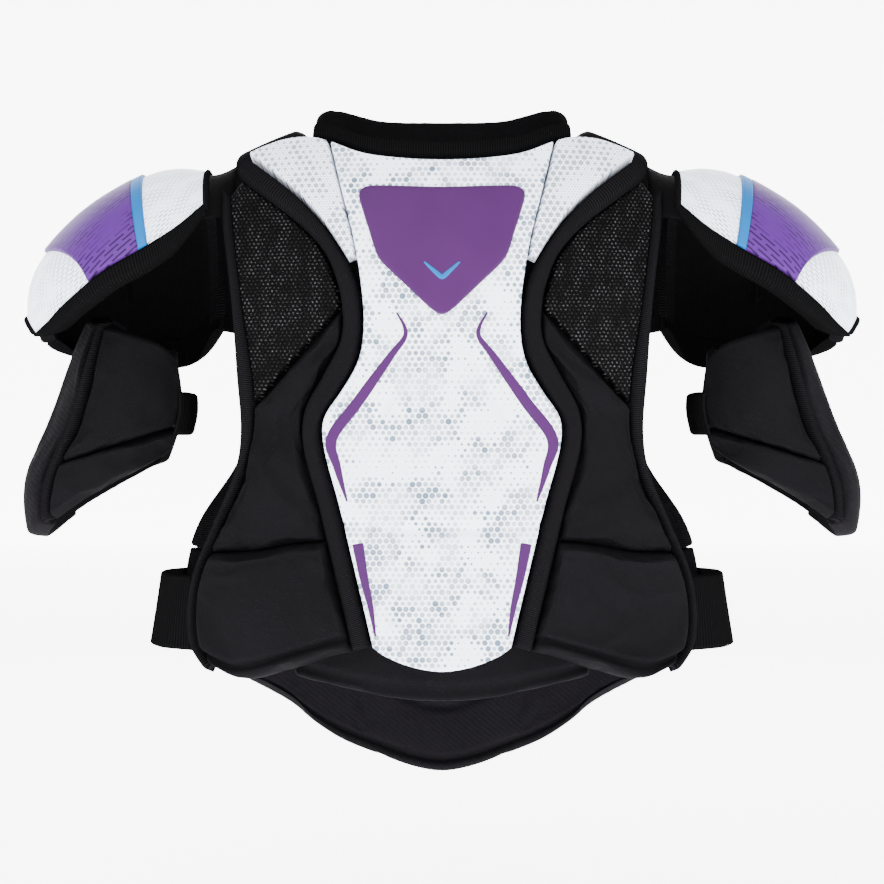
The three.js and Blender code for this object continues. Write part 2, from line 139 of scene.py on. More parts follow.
def torsoPoint(x, down):
    length = np.abs(down)
    lean = np.maximum(0, 1 - length / torso["archLength"]) * math.pi / 2
    rise = torso["ridgeTop"] - torso["ridgeFall"] * x * x - torso["armLevel"]
    z = torso["armLevel"] + rise * np.sin(lean) - np.maximum(0, length - torso["archLength"])
    half = mix(torso["chestHalf"], torso["waistHalf"], smooth((torso["widenFrom"] - z) / torso["widenOver"]))
    across = np.minimum(0.995, np.abs(x) / half)
    ring = (1 - across ** torso["roundness"]) ** (1 / torso["roundness"])
    fall = np.maximum(0, torso["armLevel"] - z) / torso["taperOver"]
    depth = torso["halfDepth"] - torso["waistTaper"] * fall ** 1.5
    return np.stack([x, np.sign(down) * depth * ring * np.cos(lean), z], axis=-1)


# a place raised off a surface, square to it
def offPoint(surface, a, b, lift, step=1.0):
    across = surface(a + step, b) - surface(a - step, b)
    along = surface(a, b + step) - surface(a, b - step)
    nose = np.cross(across, along)
    nose /= np.maximum(1e-9, np.linalg.norm(nose, axis=-1, keepdims=True))
    return surface(a, b) + nose * np.asarray(lift)[..., None]


# where on the torso a raised place stands, when it is seen at x and z: a few dozen small corrections
def footOf(x, z, lift, face):
    widest, correction, start = 156, 0.7, 70.0
    foot = np.array(x, float)
    down = face * np.maximum(20.0, start - z)
    for turn in range(40):
        point = offPoint(torsoPoint, foot, down, np.full_like(foot, lift))
        foot = np.clip(foot + correction * (x - point[:, 0]), -widest, widest)
        down = face * np.maximum(3.0, face * (down + face * correction * (point[:, 2] - z)))
    return foot, down


# the inside of four border curves, as a function of arrays u and v
def patch(bottom, top, left, right):
    def inside(u, v):
        u1, v1 = u[:, None], v[:, None]
        zero, one = np.zeros_like(u), np.ones_like(u)
        sides = mix(left(v), right(v), u1)
        ends = mix(bottom(u), top(u), v1)
        low = mix(bottom(zero), bottom(one), u1)
        high = mix(top(zero), top(one), u1)
        return sides + ends - mix(low, high, v1)
    return inside


# a band along a line of places, with its width given at even steps
def strip(places, widths):
    def inside(u, v):
        way = splineThrough(places, np.minimum(1, v + 0.01)) - splineThrough(places, np.maximum(0, v - 0.01))
        way /= np.linalg.norm(way, axis=-1, keepdims=True)
        nose = np.stack([way[:, 1], -way[:, 0]], axis=-1)
        width = np.interp(v, np.linspace(0, 1, len(widths)), widths)
        return splineThrough(places, v) + nose * ((u - 0.5) * width)[:, None]
    return inside


def mirrored(region, sign):
    def inside(u, v):
        p = region(u, v)
        return np.stack([sign * p[:, 0], p[:, 1]], axis=-1)
    return inside


# a region drawn as it is seen from the front becomes places on the raised torso
def viewPlace(region, sign=1, face=-1):
    def place(u, v, lift, top):
        p = mirrored(region, sign)(u, v)
        foot, down = footOf(p[:, 0], p[:, 1], top, face)
        return offPoint(torsoPoint, foot, down, lift), p
    return place


# a region drawn on the cloth itself, as across and down
def torsoPlace(region, sign=1):
    def place(u, v, lift, top):
        p = mirrored(region, sign)(u, v)
        return offPoint(torsoPoint, p[:, 0], p[:, 1], lift), np.stack([p[:, 0], -p[:, 1]], axis=-1)
    return place


# grid shares 0..1 that crowd towards both ends, where edges roll over
def closeSpacing(count, crowd=0.55):
    s = np.linspace(0, 1, count + 1)
    return mix(s, 0.5 - 0.5 * np.cos(math.pi * s), crowd)


def rollOver(distance, radius):
    s = np.clip(distance / max(radius, 1e-6), 0, 1)
    return np.sqrt(np.maximum(0, 1 - (1 - s) ** 2))


# a sewn line: 1 where distance is at, falling off over wide millimetres
def dip(distance, at, wide=1.8):
    return np.exp(-((distance - at) / wide) ** 2)


# a fixed order of edges and faces, since an extrusion leaves them in any order and a cloth run follows it
def settleOrder(bm):
    count = len(bm.verts)
    for part in (bm.edges, bm.faces):
        part.sort(key=lambda one: min(v.index for v in one.verts) * count + max(v.index for v in one.verts))
        part.index_update()


# a closed pad: a grid, extruded through, its outer side rolled over at the edges. values: lifts off the surface,
# cells across and along, roll radius of the edges, crown of the middle, plainMap for a cloth that runs with the pad
def makePad(name, place, values, groove=None):
    cells = values["cells"]
    low, high = map(float, values["lifts"])
    roll = values.get("roll", 3.0)
    bm = bmesh.new()
    bmesh.ops.create_grid(bm, x_segments=cells[0], y_segments=cells[1], size=0.5)
    made = bmesh.ops.extrude_face_region(bm, geom=bm.faces[:], use_keep_orig=True)
    upper = {v for v in made["geom"] if isinstance(v, bmesh.types.BMVert)}
    bm.verts.ensure_lookup_table()
    isUpper = np.array([v in upper for v in bm.verts])
    flat = np.array([(v.co.x + 0.5, v.co.y + 0.5) for v in bm.verts])
    u, v = [closeSpacing(cells[k])[np.clip(np.rint(flat[:, k] * cells[k]).astype(int), 0, cells[k])] for k in (0, 1)]

    # lengths at a few places, so that a rolled edge is equally wide all round
    def spanAt(across, along):
        spots = place(across, along, np.full(25, high), high)[0]
        return np.linalg.norm(np.diff(spots, axis=0), axis=1).sum()
    walk, shares = np.linspace(0, 1, 25), np.linspace(0, 1, 9)
    width = np.interp(v, shares, [spanAt(walk, np.full(25, s)) for s in shares])
    height = np.interp(u, shares, [spanAt(np.full(25, s), walk) for s in shares])
    edge = rollOver(np.minimum(u, 1 - u) * width, roll) * rollOver(np.minimum(v, 1 - v) * height, roll)
    bulge = values.get("crown", 0.0) * np.sin(math.pi * u) * np.sin(math.pi * v)
    if groove is not None:
        edge = edge * (1 - groove(u, v, width, height))
    lift = np.where(isUpper, low + (high - low) * (0.05 + 0.95 * edge) + bulge * edge, low)
    spots, mapped = place(u, v, lift, high)
    if values.get("plainMap"):
        mapped = np.stack([u * width.mean(), v * height.mean()], axis=-1)
    for vert, spot in zip(bm.verts, spots * toMetres):
        vert.co = spot
    bmesh.ops.recalc_face_normals(bm, faces=bm.faces[:])
    bm.verts.index_update()
    settleOrder(bm)
    layer = bm.loops.layers.uv.new("cloth")
    mapped = mapped * toMetres
    for face in bm.faces:
        face.smooth = True
        for loop in face.loops:
            loop[layer].uv = mapped[loop.vert.index]
    return linkMesh(name, bm)


def linkMesh(name, bm):
    mesh = bpy.data.meshes.new(name)
    bm.to_mesh(mesh)
    bm.free()
    piece = bpy.data.objects.new(name, mesh)
    bpy.context.scene.collection.objects.link(piece)
    return piece


# puffs a pad with a short cloth run, then keeps each point within cap millimetres of where it was
puffing = dict(frames=19, quality=6, mass=0.2, stretch=15, shear=5, bending=0.4, grow=0.02)


def relax(piece, pressure, cap):
    mesh = piece.data
    count = len(mesh.vertices)
    start = np.array([v.co for v in mesh.vertices])
    pins = piece.vertex_groups.new(name="held")
    pins.add(list(range(count // 2)), 1.0, "REPLACE")  # the inner side stays where it is sewn
    cloth = piece.modifiers.new("puff", "CLOTH")
    cloth.settings.quality = puffing["quality"]
    cloth.settings.mass = puffing["mass"]
    cloth.settings.tension_stiffness = puffing["stretch"]
    cloth.settings.compression_stiffness = puffing["stretch"]
    cloth.settings.shear_stiffness = puffing["shear"]
    cloth.settings.bending_stiffness = puffing["bending"]
    cloth.settings.use_pressure = True
    cloth.settings.uniform_pressure_force = pressure
    cloth.settings.shrink_min = -puffing["grow"]
    cloth.settings.vertex_group_mass = "held"
    cloth.settings.effector_weights.gravity = 0
    cloth.collision_settings.use_collision = False
    cloth.point_cache.frame_start = 1
    cloth.point_cache.frame_end = puffing["frames"] + 1
    for now in range(1, puffing["frames"]):
        bpy.context.scene.frame_set(now)
    shown = piece.evaluated_get(bpy.context.evaluated_depsgraph_get())
    moved = np.array([v.co for v in shown.data.vertices])
    piece.modifiers.remove(cloth)
    bpy.context.scene.frame_set(1)
    if not np.isfinite(moved).all():
        return
    shift = moved - start
    size = np.linalg.norm(shift, axis=1, keepdims=True)
    shift *= np.minimum(1, cap * toMetres / np.maximum(size, 1e-9))
    mesh.vertices.foreach_set("co", (start + shift).ravel())
    mesh.update()


# one finished piece on its body; values may also give a pressure and cap to puff it with. Their fill is not used
def addPad(name, body, place, stuff, values, nodes=(), groove=None):
    piece = makePad(name, place, values, groove)
    if "pressure" in values:
        relax(piece, values["pressure"], values.get("cap", 2.0))
    piece.data.materials.append(stuff)
    soft = piece.modifiers.new("smooth", "SUBSURF")
    soft.levels = soft.render_levels = 1
    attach(piece, body)
    if nodes:
        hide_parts(*nodes)
    return piece


# colours that several cloths share, with a painted shade for the gaps between a tape's ribs; black cloth is kept near
# zero in shine so that it stays black at the edges
looks = dict(white="#EAEFFB", dots="#4E6172", black="#060607", nap="#131214", tape="#141315", ribGapShade="#050505",
             badge="#32143C", badgeLight="#391944")


def linear(text):
    parts = [int(text[i:i + 2], 16) / 255 for i in (1, 3, 5)]
    return tuple(c / 12.92 if c <= 0.04045 else ((c + 0.055) / 1.055) ** 2.4 for c in parts) + (1.0,)


# an input is a value, a node for its first output, or a pair of node and output
def setInputs(node, inputs):
    for key, value in inputs.items() if isinstance(inputs, dict) else enumerate(inputs):
        paired = isinstance(value, tuple) and isinstance(value[0], bpy.types.Node)
        source, output = value if paired else (value, 0)
        if isinstance(source, bpy.types.Node):
            node.id_data.links.new(source.outputs[output], node.inputs[key])
        else:
            node.inputs[key].default_value = value


def addNode(tree, kind, inputs=(), **settings):
    node = tree.nodes.new("ShaderNode" + kind)
    for key, value in settings.items():
        setattr(node, key, value)
    setInputs(node, inputs)
    return node


def newStuff(name, roughness, shine=0.5):
    stuff = bpy.data.materials.new(name)
    stuff.use_nodes = True
    shader = stuff.node_tree.nodes["Principled BSDF"]
    setInputs(shader, {"Roughness": roughness, "Specular IOR Level": shine})
    return stuff, shader, partial(addNode, stuff.node_tree)


# for each of the two lattices of a hexagon packing: distance in metres to its dot, and a value 0..1 for that dot
def hexLattices(add, source, pitch):
    tall = pitch * math.sqrt(3)
    found = []
    for shift in (0.0, 0.5):
        scaled = add("VectorMath", (source, (1 / pitch, 1 / tall, 0)), operation="MULTIPLY")
        moved = add("VectorMath", (scaled, (shift + 200, shift + 200, 0)), operation="ADD")
        part = add("VectorMath", (moved,), operation="FRACTION")
        centred = add("VectorMath", (part, (0.5, 0.5, 0)), operation="SUBTRACT")
        away = add("VectorMath", (centred, (pitch, tall, 0)), operation="MULTIPLY")
        length = add("VectorMath", (away,), operation="LENGTH")
        whole = add("VectorMath", (moved,), operation="FLOOR")
        cell = add("VectorMath", (whole, (0, 0, shift * 10)), operation="ADD")
        found.append(((length, "Value"), add("TexWhiteNoise", {"Vector": cell})))
    return found


# 1 in the middle of each hole of a mesh, 0 on its threads
def meshHoles(add, source, pitch, inner, outer):
    first, second = hexLattices(add, source, pitch)
    nearest = add("Math", (first[0], second[0]), operation="MINIMUM")
    return add("MapRange", (nearest, inner, outer, 1.0, 0.0))


# slanting rows of short dashes, as a value of 1 inside a dash
def dashes(add, source, gap, length, row):
    turned = add("VectorRotate", {"Vector": source, "Angle": 0.42}, rotation_type="Z_AXIS")
    bricks = add("TexBrick", {"Vector": turned, "Scale": 1.0, "Mortar Size": gap, "Mortar Smooth": 0.1,
                              "Brick Width": length, "Row Height": row}, offset=0.5)
    return add("Math", (1.0, (bricks, 1)), operation="SUBTRACT")


# polyester tricot, dye-printed with dots in a hexagon packing: matt and faintly knitted, the grey dots growing and
# fading in patches. Dots are 3.6 mm apart.
def printedWhite():
    look = dict(pitch=0.0036, dot=0.00138, spread=0.4, patches=42.0, shades=55.0, knit=420.0, softness=60.0)
    stuff, shader, add = newStuff("printed_white", 0.75, 0.25)
    uv = add("UVMap", uv_map="cloth")
    blotches = add("TexNoise", {"Vector": uv, "Scale": look["patches"], "Detail": 1.5})
    patches = add("MapRange", (blotches, 0.38, 0.53, 0.2, 1.0))
    moved = add("VectorMath", (uv, (3, 7, 0)), operation="ADD")
    clouds = add("TexNoise", {"Vector": moved, "Scale": look["shades"], "Detail": 1.0})
    shades = add("MapRange", (clouds, 0.38, 0.56, 0.55, 1.0))
    colour = linear(looks["white"])
    for away, chance in hexLattices(add, uv, look["pitch"]):
        spread = add("Math", (chance, look["spread"]), operation="MULTIPLY")
        share = add("Math", (patches, spread), operation="ADD")
        reach = add("Math", (share, look["dot"]), operation="MULTIPLY")
        inside = add("Math", (reach, away), operation="SUBTRACT")
        inDot = add("MapRange", (inside, 0.00012, 0.00032, 0.0, 1.0))
        shaded = add("Math", (inDot, shades), operation="MULTIPLY")
        tint = add("Math", (shaded, add("MapRange", (chance, 0.0, 1.0, 0.65, 1.0))), operation="MULTIPLY")
        colour = (add("Mix", {0: tint, 6: colour, 7: linear(looks["dots"])}, data_type="RGBA"), 2)
    knit = add("TexWave", {"Vector": uv, "Scale": look["knit"], "Distortion": 0.6})
    threads = add("Bump", {"Height": (knit, 1), "Distance": 0.00005, "Strength": 0.5})
    waves = add("TexNoise", {"Vector": uv, "Scale": look["softness"], "Detail": 2.0})
    bumps = add("Bump", {"Height": waves, "Distance": 0.0012, "Strength": 0.35, "Normal": threads})
    setInputs(shader, {"Base Color": colour, "Normal": bumps})
    return stuff


# white warp-knit mesh over foam: the same print, 4 mm apart, behind rows of 1.7 mm holes that catch shade
def yokeWhite():
    look = dict(pitch=0.0040, dot=0.0014, spread=0.35, patches=45.0, hole=0.0017, shade="#59616A", depth=0.0003)
    stuff, shader, add = newStuff("yoke_mesh", 0.75, 0.25)
    uv = add("UVMap", uv_map="cloth")
    hole = meshHoles(add, uv, look["hole"], 0.0003, 0.0006)
    blotches = add("TexNoise", {"Vector": uv, "Scale": look["patches"], "Detail": 1.5})
    patches = add("MapRange", (blotches, 0.32, 0.58, 0.0, 1.0))
    colour = linear(looks["white"])
    for away, chance in hexLattices(add, uv, look["pitch"]):
        spread = add("Math", (chance, look["spread"]), operation="MULTIPLY")
        share = add("Math", (patches, spread), operation="ADD")
        reach = add("Math", (share, look["dot"]), operation="MULTIPLY")
        inside = add("Math", (reach, away), operation="SUBTRACT")
        tint = add("MapRange", (inside, 0.0001, 0.0005, 0.0, 0.75))
        colour = (add("Mix", {0: tint, 6: colour, 7: linear(looks["dots"])}, data_type="RGBA"), 2)
    shaded = add("Math", (hole, 0.55), operation="MULTIPLY")
    colour = (add("Mix", {0: shaded, 6: colour, 7: linear(look["shade"])}, data_type="RGBA"), 2)
    raised = add("Math", (1.0, hole), operation="SUBTRACT")
    bumps = add("Bump", {"Height": raised, "Distance": look["depth"], "Strength": 0.7})
    setInputs(shader, {"Base Color": colour, "Normal": bumps})
    return stuff


# brushed nylon knit laminated on foam: matt black with a soft grey nap and fine diagonal ribs. Twill is ribs to a
# metre, and nap the share of grey fibres.
def brushedBlack(name, tone, twill, nap):
    look = dict(grain=900.0, wear=22.0, wearShare=0.35, lumps=38.0)
    stuff, shader, add = newStuff(name, 0.85, 0.01)
    spot = (add("TexCoord"), "Object")
    grain = add("TexNoise", {"Vector": spot, "Scale": look["grain"], "Detail": 3.0})
    wear = add("TexNoise", {"Vector": spot, "Scale": look["wear"], "Detail": 2.0})
    fibres = add("Math", (grain, nap), operation="MULTIPLY")
    worn = add("Math", (wear, look["wearShare"]), operation="MULTIPLY")
    mottled = add("Math", (fibres, worn), operation="ADD")
    colour = add("Mix", {0: mottled, 6: linear(tone), 7: linear(looks["nap"])}, data_type="RGBA")
    turned = add("VectorRotate", {"Vector": spot, "Angle": 0.9}, rotation_type="Y_AXIS")
    ribs = add("TexWave", {"Vector": turned, "Scale": twill, "Distortion": 1.2, "Detail": 1.0}, bands_direction="X")
    first = add("Bump", {"Height": (ribs, 1), "Distance": 0.0002, "Strength": 0.6})
    second = add("Bump", {"Height": grain, "Distance": 0.0004, "Strength": 0.4, "Normal": first})
    lumps = add("TexNoise", {"Vector": spot, "Scale": look["lumps"], "Detail": 2.0})
    third = add("Bump", {"Height": lumps, "Distance": 0.0025, "Strength": 0.35, "Normal": second})
    setInputs(shader, {"Base Color": (colour, 2), "Normal": third})
    return stuff


# black warp-knit spacer mesh, holes 2.4 mm apart: zigzag raised threads, the grey lining showing through as specks
def openMesh():
    look = dict(thread="#040404", speck="#3C3C3E", pitch=0.0024, zigzag=0.0009, depth=0.0006)
    stuff, shader, add = newStuff("open_mesh", 0.7, 0.02)
    uv = add("UVMap", uv_map="cloth")
    wander = add("TexNoise", {"Vector": uv, "Scale": 300.0})
    shift = add("VectorMath", {0: (wander, 1), 3: look["zigzag"]}, operation="SCALE")
    bent = add("VectorMath", (uv, shift), operation="ADD")
    hole = meshHoles(add, bent, look["pitch"], 0.0003, 0.0008)
    fibres = add("TexNoise", {"Vector": uv, "Scale": 1100.0, "Detail": 1.0})
    fleck = add("MapRange", (fibres, 0.44, 0.56, 0.0, 1.0))
    drawn = add("VectorMath", (uv, (1, 0.45, 1)), operation="MULTIPLY")
    streaks = add("TexNoise", {"Vector": drawn, "Scale": 150.0, "Detail": 1.0})
    wide = add("MapRange", (streaks, 0.42, 0.6, 0.25, 1.0))
    specks = add("Math", (hole, fleck), operation="MULTIPLY")
    lit = add("Math", (specks, wide), operation="MULTIPLY")
    colour = add("Mix", {0: lit, 6: linear(look["thread"]), 7: linear(look["speck"])}, data_type="RGBA")
    raised = add("Math", (1.0, hole), operation="SUBTRACT")
    bumps = add("Bump", {"Height": raised, "Distance": look["depth"], "Strength": 0.8})
    setInputs(shader, {"Base Color": (colour, 2), "Normal": bumps})
    return stuff


# folded elastic binding: polyester round rubber cores, so fine ribs run across it and catch a little light. Its colour
# is painted with that light: painted shade in the gaps between ribs, and lighter rib tops as painted highlight
def ribbedTape(name, tone, pitch, axis):
    stuff, shader, add = newStuff(name, 0.7, 0.0)
    uv = add("UVMap", uv_map="cloth")
    ribs = add("TexWave", {"Vector": uv, "Scale": 0.314 / pitch, "Distortion": 0.5, "Detail": 1.0,
                           "Detail Scale": 2.0}, bands_direction=axis)
    # painted shade and highlight: the colour is darker in the gaps between the ribs and lighter on their tops
    colour = add("Mix", {0: (ribs, 1), 6: linear(looks["ribGapShade"]), 7: linear(tone)}, data_type="RGBA")
    bumps = add("Bump", {"Height": (ribs, 1), "Distance": 0.0003, "Strength": 0.6})
    setInputs(shader, {"Base Color": (colour, 2), "Normal": bumps})
    return stuff


# moulded thermoplastic urethane film: satin purple, with darker slanting dashes pressed in here and there
def mouldedBand():
    look = dict(purple="#421C63", dash="#241036", gap=0.0012, length=0.0105, row=0.0036, patches=26.0)
    stuff, shader, add = newStuff("moulded_purple", 0.5, 0.06)
    uv = add("UVMap", uv_map="cloth")
    inDash = dashes(add, uv, look["gap"], look["length"], look["row"])
    blotches = add("TexNoise", {"Vector": uv, "Scale": look["patches"], "Detail": 1.0})
    patches = add("MapRange", (blotches, 0.44, 0.54, 0.0, 1.0))
    shown = add("Math", (inDash, patches), operation="MULTIPLY")
    colour = add("Mix", {0: shown, 6: linear(look["purple"]), 7: linear(look["dash"])}, data_type="RGBA")
    raised = add("Math", (1.0, shown), operation="SUBTRACT")
    bumps = add("Bump", {"Height": raised, "Distance": 0.0003, "Strength": 0.5})
    setInputs(shader, {"Base Color": (colour, 2), "Normal": bumps})
    return stuff


# printed polyester over a moulded cap: white with rows of fine pale grey dashes, thicker in patches
def capWhite():
    look = dict(gap=0.0009, length=0.0052, row=0.0026, patches=60.0)
    stuff, shader, add = newStuff("cap_white", 0.65, 0.25)
    uv = add("UVMap", uv_map="cloth")
    inDash = dashes(add, uv, look["gap"], look["length"], look["row"])
    blotches = add("TexNoise", {"Vector": uv, "Scale": look["patches"], "Detail": 1.0})
    patches = add("MapRange", (blotches, 0.38, 0.56, 0.3, 1.0))
    shown = add("Math", (inDash, patches), operation="MULTIPLY")
    colour = add("Mix", {0: shown, 6: linear(looks["white"]), 7: linear(looks["dots"])}, data_type="RGBA")
    grain = add("TexNoise", {"Vector": uv, "Scale": 1500.0, "Detail": 1.0})
    bumps = add("Bump", {"Height": grain, "Distance": 0.00008, "Strength": 0.4})
    setInputs(shader, {"Base Color": (colour, 2), "Normal": bumps})
    return stuff


# ink or rubber film pressed on cloth: even colour with a slow fade and a slight grain
def smoothPrint(name, low, high, roughness):
    stuff, shader, add = newStuff(name, roughness, 0.06)
    uv = add("UVMap", uv_map="cloth")
    fade = add("TexNoise", {"Vector": uv, "Scale": 30.0, "Detail": 1.0})
    colour = add("Mix", {0: fade, 6: linear(low), 7: linear(high)}, data_type="RGBA")
    grain = add("TexNoise", {"Vector": uv, "Scale": 1800.0, "Detail": 1.0})
    bumps = add("Bump", {"Height": grain, "Distance": 0.00006, "Strength": 0.4})
    setInputs(shader, {"Base Color": (colour, 2), "Normal": bumps})
    return stuff


white = printedWhite()
yokeCloth = yokeWhite()
black = brushedBlack("brushed_black", looks["black"], 300.0, 0.5)
velour = brushedBlack("velour_black", "#070608", 120.0, 0.9)
lining = brushedBlack("lining_black", "#030303", 340.0, 0.2)
meshCloth = openMesh()
tape = ribbedTape("ribbed_tape", looks["tape"], 0.0013, "Y")
webbing = ribbedTape("webbing", "#0C0C0D", 0.0016, "X")
purpleBand = mouldedBand()
capCloth = capWhite()
badgeStuff = smoothPrint("badge_rubber", looks["badge"], looks["badgeLight"], 0.55)
linePrint = smoothPrint("line_print", "#33153F", looks["badgeLight"], 0.6)
cyanPrint = smoothPrint("cyan_print", "#004E88", "#00588E", 0.55)
print("materials made")

# edges of the front, as (height, distance from the centre line)
coverEdge = heightCurve([(5, 64), (-27, 56), (-58, 48.3), (-92, 43.5), (-113, 44), (-126, 48), (-139, 56),
                         (-154, 65.8), (-170, 65.6), (-200, 57.5), (-234, 49.2), (-281, 38)])
whiteEdge = heightCurve([(0, 113), (-5, 107.5), (-13, 98), (-25, 84), (-40, 70), (-57, 58), (-74, 49), (-92, 44.5),
                         (-113, 45), (-126, 49), (-139, 57), (-154, 66.8), (-170, 66.6), (-200, 58.5), (-234, 50.2),
                         (-281, 39)])
bindingEdge = heightCurve([(-11, 119.5), (-16, 115.5), (-29, 99.5), (-45, 80), (-61, 66), (-77.5, 59), (-92, 56),
                           (-111, 56.5), (-131, 67), (-150, 77), (-171, 77.5), (-203, 69), (-237, 61), (-260, 55.5),
                           (-284, 50)])
wingEdge = heightCurve([(-26, 121.5), (-45, 119.5), (-70, 116), (-100, 112), (-125, 108), (-147, 106), (-168, 107.5),
                        (-188, 113), (-212, 124.5), (-241, 136.5), (-262, 140), (-280, 138.5), (-292, 131)])
outerEdge = heightCurve([(-20, 126.5), (-45, 125), (-70, 121.5), (-100, 118.5), (-132, 116.5), (-160, 114.3),
                         (-180, 116.5), (-210, 128.5), (-240, 141.5), (-262, 145.5), (-282, 144), (-297, 134)])
neckline = [(0, -8), (22, -7), (44, -3.5), (64, 5)]
wingSeam = [(64.6, -222), (84.5, -224), (109, -228), (float(wingEdge(-229)), -229)]


def buildChest():
    cover = dict(lifts=(3.4, 14.5), cells=(64, 150), roll=1.6, fill=0.8, top=5, low=-281, seamAllowance=0.6,
                 hem=[(0, -294.5), (16, -292), (30, -286.5), (38, -281)],
                 crossing=82, uprights=29, foot=22, slantTop=190, slantEnd=130)
    sides = [edgeCurve(coverEdge, cover["low"], cover["top"], side, -cover["seamAllowance"]) for side in (-1, 1)]
    region = patch(pathCurve(bothSides(cover["hem"])), pathCurve(bothSides(neckline)), *sides)

    # moulded relief: a cross channel above a block at the foot, framed by two uprights and a curved channel
    def channels(u, v, w, h):
        across, up = np.abs(u - 0.5) * w, v * h
        below, under = cover["crossing"] - up, cover["slantTop"] - up
        cross = 0.26 * dip(up, cover["crossing"] - 0.12 * across, 2.6)
        uprights = 0.2 * dip(across, cover["uprights"], 2.2) * smooth((up - 18) / 8) * smooth(below / 8)
        foot = 0.2 * dip(up, cover["foot"] + 0.006 * across ** 2, 2.2) * smooth((32 - across) / 6)
        slants = 0.16 * dip(across, 14 + 0.42 * under, 3.0) * smooth(under / 10) * smooth((up - cover["slantEnd"]) / 12)
        return cross + uprights + foot + slants
    addPad("chest_front", "chest", viewPlace(region), white, cover,
           ["chest_cover", "chest_foam", "chest_plate"], channels)

    liner = dict(lifts=(0, 2.6), cells=(50, 50), roll=1.0, fill=0.3, top=-22, low=-282, topHalf=114, lowHalf=122,
                 shoulder=[(88, 2), (108, -8), (114, -22)], hem=[(0, -290), (38, -280), (80, -284), (122, -282)])

    def linerSide(sign):
        def at(s):
            z = mix(liner["low"], liner["top"], s)
            plain = mix(liner["lowHalf"], liner["topHalf"], s)
            x = mix(plain, wingEdge(z) - 1.5, np.minimum(1, 12 * s * (1 - s)))
            return np.stack([sign * x, z], axis=-1)
        return at
    region = patch(pathCurve(bothSides(liner["hem"])), pathCurve(bothSides(neckline + liner["shoulder"])),
                   linerSide(-1), linerSide(1))
    addPad("chest_lining", "chest", viewPlace(region), lining, liner, ["chest_liner"])

    badge = dict(lifts=(14.2, 16.4), cells=(40, 32), roll=1.4, point=[(0, -97.4), (3, -96.4)],
                 side=[(3, -96.4), (8, -92.5), (20, -81), (32, -69.5), (36.2, -63.5), (40.5, -50), (46, -32),
                       (45.8, -27)],
                 top=[(0, -25), (28, -24.2), (41, -24.2), (45.8, -27)])
    side = pathCurve(badge["side"])
    region = patch(pathCurve(bothSides(badge["point"])), pathCurve(bothSides(badge["top"])),
                   lambda s: side(s) * (-1, 1), side)
    addPad("badge", "chest", viewPlace(region), badgeStuff, badge, ["chest_badge"])

    chevron = dict(lifts=(16.2, 16.9), cells=(4, 40), roll=0.4, plainMap=True, widths=[1.2, 2.2, 3.0, 3.0, 2.2, 1.2],
                   line=[(-9.8, -68.4), (-5, -72.8), (-0.7, -76.6), (0.7, -76.6), (5, -72.8), (9.8, -68.4)])
    region = strip(chevron["line"], chevron["widths"])
    addPad("badge_chevron", "chest", viewPlace(region), cyanPrint, chevron)

    belly = dict(lifts=(-8.5, 0.6), cells=(60, 24), roll=4.0, fill=0.5, pressure=1.5, seam=7.0, seamDepth=0.5,
                 hem=[(0, -311), (40, -307.5), (84, -298)], top=[(0, -252), (78, -248)])
    region = patch(pathCurve(bothSides(belly["hem"])), pathCurve(bothSides(belly["top"])),
                   straight((-84, -298), (-78, -248)), straight((84, -298), (78, -248)))
    addPad("belly", "chest", viewPlace(region), black, belly, ["belly_pad"],
           lambda u, v, w, h: belly["seamDepth"] * dip(v * h, belly["seam"]))

    neck = dict(lifts=(3, 13.5), cells=(90, 12), roll=4.5, fill=0.7, plainMap=True,
                low=[(0, -7.2), (22, -6.2), (44, -2.7), (63, 5.4), (76, 8.6)],
                top=[(0, 4.2), (22, 5.2), (44, 8.6), (62, 16.2), (76, 18.4)])
    region = patch(pathCurve(bothSides(neck["low"])), pathCurve(bothSides(neck["top"])),
                   straight((-76, 8.6), (-76, 18.4)), straight((76, 8.6), (76, 18.4)))
    addPad("neck_edge", "chest", viewPlace(region), webbing, neck, ["neck_band"])


